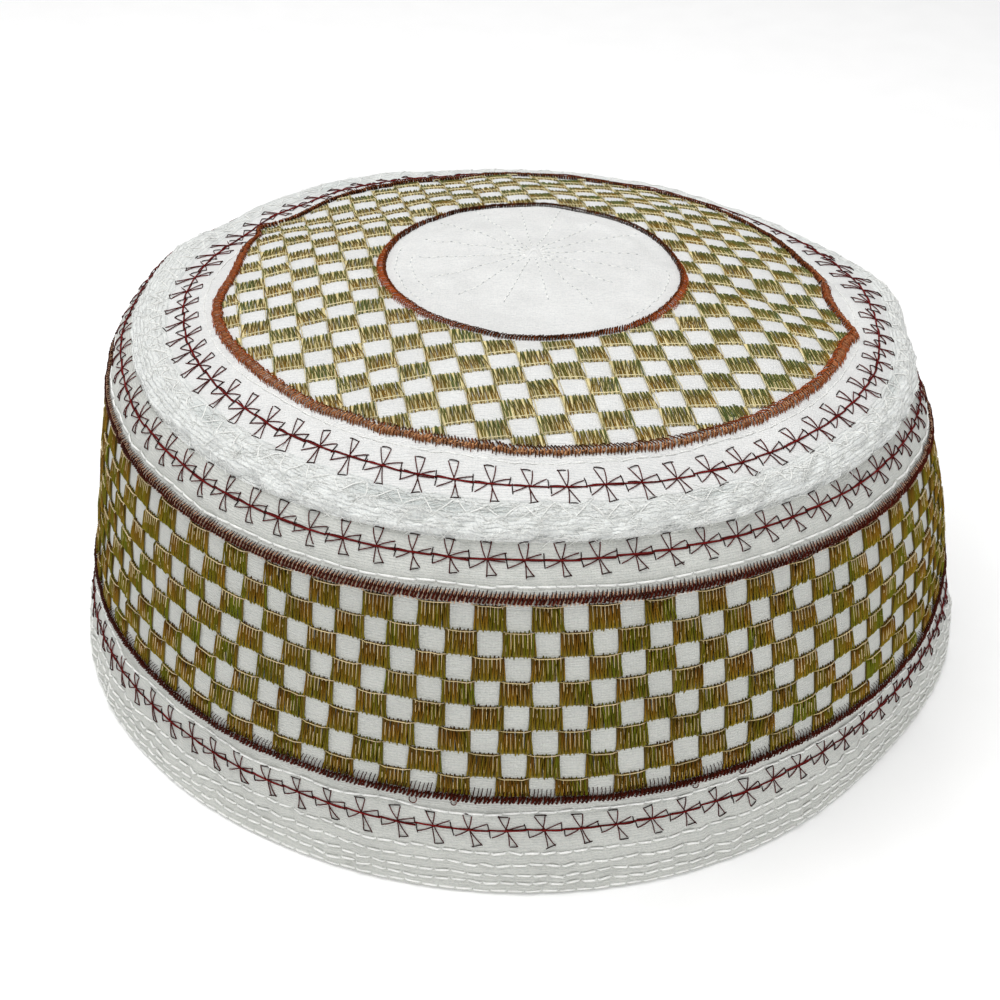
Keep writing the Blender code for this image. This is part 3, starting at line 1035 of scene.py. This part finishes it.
def running_stitches(level, pitch, share, width, lift, rng, wander=0.0, base=0.0):
    """A row of running stitches right round the cap, over the surface or at a base under it."""
    radius = radius_at(level)
    count = int(round(FULL_TURN * radius / pitch))
    start = np.arange(count) / count * FULL_TURN
    shares = np.array((0.0, 0.14, 0.86, 1.0)) * share
    angle = start[:, None] + FULL_TURN / count * shares
    drift = wander * lumps(bare_point(np.full_like(angle, level), angle), 16.0, 71)
    slip = rng.normal(0, 0.07, (count, 1))
    levels = level_at(length_at(level) + drift + slip)
    lifts = base + np.array((-0.05, lift, lift, -0.05))
    sides = 4 if base == 0.0 else 3
    return strands(levels, angle, lifts, width, width * 0.8, rng.uniform(size=count), sides=sides)


def make_white_stitches(material):
    rng = np.random.default_rng(72)
    parts = [running_stitches(row, 2.75, 0.90, 0.42, 0.27, rng) for row in HEM_ROWS[1:]]
    parts.append(running_stitches(HEM_ROWS[0], 2.9, 0.90, 0.36, 0.1, rng))
    parts.append(running_stitches(LOWER_RUN, 3.0, 0.97, 0.42, 0.18, rng, 0.35))
    parts.append(running_stitches(UPPER_RUN, 3.2, 0.98, 0.42, 0.22, rng, 0.15))
    parts.append(running_stitches(CROWN_RUN, 2.6, 0.9, 0.24, 0.12, rng, 0.2))
    thread_piece("white_stitches", parts, material)


# The tape that covers the seam on the inside: its span of levels and its thickness.
TAPE_SPAN = (5.35, 7.0)
TAPE = 0.5


def make_inside_tape(material):
    """A folded tape sewn over the seam on the inside of the cap."""
    low, high = (length_at(level) for level in TAPE_SPAN)
    over = level_at(np.linspace(low, high, 12))
    rings = []
    for level, offset in [(level, 0.3) for level in over] + [(level, -TAPE) for level in over[::-1]]:
        at_edge = min(length_at(level) - low, high - length_at(level)) < 0.01
        depth = offset * (0.45 if at_edge else 1.0) - CLOTH
        if offset < 0:
            depth += 0.10 * lumps(wrapped(level, AZIMUTHS, 1.0, 0.3), 5.0, 81)
        rings.append((raised(level, AZIMUTHS, depth), LINING + 100.0 + length_at(level), 0.0))
    closed_band("inside_tape", rings, 74.0, material)


def make_inside_stitches(material):
    """The back of the running stitches, on the lining and along both edges of the tape."""
    rng = np.random.default_rng(76)
    parts = [running_stitches(row, 2.75, 0.72, 0.34, -0.12, rng, base=-CLOTH) for row in HEM_ROWS]
    for row in (LOWER_RUN, 5.0):
        parts.append(running_stitches(row, 3.0, 0.72, 0.34, -0.12, rng, 0.35, base=-CLOTH))
    for row in (TAPE_SPAN[0] + 0.12, TAPE_SPAN[1] - 0.10):
        parts.append(running_stitches(row, 2.4, 0.72, 0.32, -0.14, rng, base=-CLOTH - TAPE))
    thread_piece("inside_stitches", parts, material)


def make_seam_zigzag(material):
    """White zigzag that holds the seam down, with its points over and under the ridge's upper side."""
    rng = np.random.default_rng(74)
    teeth = 84
    corner = np.arange(2 * teeth)
    azimuth = (corner + rng.normal(0, 0.12, 2 * teeth)) / (2 * teeth) * FULL_TURN
    level = np.where(corner % 2 == 0, 6.42, 5.98) + rng.normal(0, 0.05, 2 * teeth)
    following = np.roll(azimuth, -1) + np.where(corner == 2 * teeth - 1, FULL_TURN, 0.0)
    share = np.linspace(0.0, 1.0, 7)
    angles = azimuth[:, None] + (following - azimuth)[:, None] * share
    levels = level[:, None] + (np.roll(level, -1) - level)[:, None] * share
    lift = np.array((-0.1, 0.1, 0.16, 0.18, 0.16, 0.1, -0.1)) + seam_lift(levels, angles)
    made = strands(levels, angles, lift, 0.22, 0.2, rng.uniform(0.5, 1.0, 2 * teeth), sides=4)
    thread_piece("seam_zigzag", [made], material)


def make_lint(material):
    """Loose white fibres that lie along the seam."""
    rng = np.random.default_rng(75)
    count = 1300
    low, high = SEAM_SPAN
    angle = np.radians(rng.normal(-90.0, 62.0, count))
    level = rng.uniform(low + 0.02, high, count) - 0.25 * (high - low) * rng.uniform(size=count)
    level = np.maximum(level, low + 0.02)
    steps = np.linspace(-0.5, 0.5, 4)
    across = rng.uniform(0.8, 3.6, count)[:, None] * steps
    up = rng.normal(0, 1.0, count)[:, None] * steps + rng.normal(0, 0.18, (count, 4))
    levels, angles = moved(level[:, None], angle[:, None], across, up)
    lift = seam_lift(levels, angles) + np.array((0.0, 0.16, 0.16, 0.0)) + rng.uniform(0, 0.15, (count, 1))
    made = strands(levels, angles, lift, 0.12, 0.1, rng.uniform(0.4, 1.0, count))
    thread_piece("seam_lint", [made], material)


DISC_MIDDLE = (0.2, 3.9)
DISC_RAYS = 16
DISC_PITCH = 1.75

# Short arcs of stitches near the disc's edge: level, middle and half reach in degrees.
DISC_ARCS = ((10.13, 192.0, 26.0), (10.24, 195.0, 20.0), (10.14, -25.0, 24.0))


def make_disc_stitches(thread, shadow):
    """Dotted rays from the disc's middle, arcs of stitches near its edge, and painted shadows of the needle
    holes between.
    """
    rng = np.random.default_rng(73)
    white, dark = [], []
    kinds = (
        (white, np.array((0.0, 0.25, 0.85, 1.1)), 0.07, 0.26),
        # Painted shadow: short grey strands lying flush stand for the shade in the needle holes.
        (dark, np.array((1.15, 1.25, 1.55, 1.65)), 0.02, 0.22),
    )
    for ray in range(DISC_RAYS):
        direction = FULL_TURN * (ray + 0.35) / DISC_RAYS + rng.normal(0, 0.02)
        start = np.arange(1.6, rng.uniform(19.0, 23.5), DISC_PITCH)
        for parts, run, lift, width in kinds:
            reach = start[:, None] + run
            level, angle = from_plan(
                DISC_MIDDLE[0] + reach * math.cos(direction), DISC_MIDDLE[1] + reach * math.sin(direction)
            )
            chance = rng.uniform(size=len(start))
            parts.append(strands(level, angle, (-0.08, lift, lift, -0.08), width, 0.18, chance, sides=4))
    for level, middle, reach in DISC_ARCS:
        pitch = math.degrees(DISC_PITCH / radius_at(level))
        start = np.radians(np.arange(middle - reach, middle + reach, pitch))
        for parts, run, lift, width in kinds:
            angle = start[:, None] + run / radius_at(level)
            chance = rng.uniform(size=len(start))
            levels = np.full_like(angle, level) + rng.normal(0, 0.006, (len(start), 1))
            parts.append(strands(levels, angle, (-0.08, lift, lift, -0.08), width, 0.18, chance, sides=4))
    thread_piece("disc_stitches", white, thread)
    thread_piece("disc_needle_hole_shadows", dark, shadow)


def make_floor():
    bpy.ops.mesh.primitive_plane_add(size=6.0, location=(0.0, 0.0, -0.0002))
    floor = bpy.context.object
    floor.name = "floor"
    material, tree, shader = fresh_material("floor_paper")
    place = node(tree, "ShaderNodeNewGeometry").outputs["Position"]
    grain = noise(tree, place, 60.0, 2.0)
    pale = ramp(tree, grain, (0.3, (0.93, 0.93, 0.93)), (0.7, (0.96, 0.96, 0.96)))
    feed(tree, shader.inputs["Base Color"], pale)
    settle(shader, {"Roughness": 0.9, "Specular IOR Level": 0.1})
    settle(shader, {"Emission Color": (*WHITE, 1.0), "Emission Strength": 0.16})
    floor.data.materials.append(material)


CAP_MIDDLE = (0.0, 0.0, 0.04)

# Softboxes: size in metres, power in watts and place.
LIGHTS = {
    "top_softbox": (0.9, 7.5, (-0.14, 0.05, 0.95)),
    "left_softbox": (1.0, 3.1, (-1.3, -0.25, 0.75)),
    "front_softbox": (0.9, 4.8, (0.45, -1.1, 0.4)),
    "back_softbox": (1.0, 1.0, (0.5, 1.2, 0.7)),
}


def make_light(name, size, energy, place):
    """A round softbox that faces the cap."""
    data = bpy.data.lights.new(name, "AREA")
    data.shape, data.size, data.energy = "DISK", size, energy
    light = bpy.data.objects.new(name, data)
    light.location = place
    light.rotation_euler = (Vector(CAP_MIDDLE) - Vector(place)).to_track_quat("-Z", "Y").to_euler()
    bpy.context.scene.collection.objects.link(light)


def make_lights():
    for name, row in LIGHTS.items():
        make_light(name, *row)
    world = bpy.context.scene.world or bpy.data.worlds.new("studio")
    bpy.context.scene.world = world
    world.use_nodes = True
    settle(world.node_tree.nodes["Background"], {"Color": (*WHITE, 1.0), "Strength": 0.22})


CAMERA_PLACE = (0.0, -0.27891, 0.19781)
CAMERA_FORWARD = (-0.01596, 0.84234, -0.53872)
CAMERA_UP = (-0.03174, 0.53809, 0.84229)
CAMERA_LENS = 55.96


def make_camera():
    """The camera at the photograph's angle, high in front of the cap."""
    data = bpy.data.cameras.new("camera")
    data.sensor_width, data.lens = 36.0, CAMERA_LENS
    data.clip_start, data.clip_end = 0.01, 20.0
    camera = bpy.data.objects.new("camera", data)
    forward = Vector(CAMERA_FORWARD).normalized()
    right = forward.cross(Vector(CAMERA_UP)).normalized()
    up = right.cross(forward)
    turn = Matrix((right, up, -forward)).transposed()
    camera.matrix_world = Matrix.Translation(CAMERA_PLACE) @ turn.to_4x4()
    bpy.context.scene.collection.objects.link(camera)
    bpy.context.scene.camera = camera


# Threads: colours along a stitch from its start, second colour, gloss and spread of lightness.
THREADS = {
    "olive_silk": (((0, "#8c7c1c"), (0.35, "#88661a"), (0.75, "#6c4814"), (1, "#3a260e")), "#666a14", 0.05),
    "crown_olive_silk": (
        ((0, "#a07c34"), (0.45, "#866828"), (0.8, "#666c3a"), (1, "#566040")), "#64703c", 0.05
    ),
    "gold_silk": (((0, "#ecdfae"), (1, "#e2d29a")), "#e0c468"),
    "pale_silk": (((0, "#c8b47c"), (1, "#dcc8a4")), "#d2b884"),
    "cream_silk": (((0, "#eadfb8"), (1, "#e6d8a4")), "#e2cc88"),
    "maroon_silk": (((0, "#6e2212"), (0.4, "#52180c"), (1, "#38120a")), "#2c140a", 0.04),
    "tan_silk": (((0, "#e0bc9c"), (1, "#c89878")), "#dcc0a4"),
    # Painted highlight: the pinwheel thread is a little lighter in the middle of each stitch than at its
    # ends.
    "pinwheel_silk": (((0, "#2a1a18"), (0.5, "#341e1c"), (1, "#2a1a18")), "#761f1e", 0.04),
    # The rust thread is lighter in the middle of each stitch than at its ends: a painted highlight where the
    # satin rises.
    "rust_silk": (((0, "#6a2c16"), (0.5, "#984c2a"), (1, "#783616")), "#dca878", 0.06),
    "brown_silk": (((0, "#42200c"), (0.5, "#3a1c0a"), (1, "#281006")), "#b45a2c", 0.06),
    # Painted highlight and shade: the white thread is lighter in the middle of each stitch and greyer at its
    # ends, where it sinks into the cloth.
    "white_silk": (((0, "#f0f1ee"), (0.5, "#fdfdfa"), (1, "#f0f1ee")), "#f6f6f2", 0.10, 0.06),
    "needle_shadow": (((0, "#b4b8b8"), (1, "#c4c8c8")), "#b4b8b8"),
    "ground_silk": (((0, "#86743a"), (1, "#6e5626")), "#606430"),
}


def main():
    white = cotton("white_cotton", srgb("#f0f0ee"))
    # Painted shade: the wall's cotton, also used for the inside tape, is the crown's white cotton made darker
    # to stand for the shade on the upright wall.
    wall_shaded_cotton = cotton("wall_painted_shade_cotton", srgb("#d6d7d1"))
    # The seam's cotton has smaller and darker blotches than the rest: painted shade standing for the small
    # shadows among the seam's lumps.
    seam = cotton("seam_cotton", srgb("#f4f6f3"), rib=0.7, depth=0.9, blotches=420.0, dimming=0.88)
    silk = {name: embroidery_thread(name, *row) for name, row in THREADS.items()}
    make_wall(wall_shaded_cotton)
    make_crown(white)
    make_seam(seam)
    make_wall_checks(silk["olive_silk"], silk["ground_silk"], silk["pale_silk"])
    make_crown_checks(silk["crown_olive_silk"], silk["gold_silk"], silk["cream_silk"])
    make_upper_edging(silk["maroon_silk"], silk["tan_silk"])
    make_lower_edging(silk["maroon_silk"])
    make_outer_edging(silk["rust_silk"], silk["brown_silk"])
    make_inner_edging(silk["brown_silk"])
    for name in MOTIF_ROWS:
        make_motifs(name, silk["pinwheel_silk"])
    make_white_stitches(silk["white_silk"])
    make_inside_tape(wall_shaded_cotton)
    make_inside_stitches(silk["white_silk"])
    make_seam_zigzag(silk["white_silk"])
    make_lint(silk["white_silk"])
    make_disc_stitches(silk["white_silk"], silk["needle_shadow"])
    make_floor()
    make_lights()
    make_camera()
    bpy.context.scene.view_settings.view_transform = "Standard"


main()
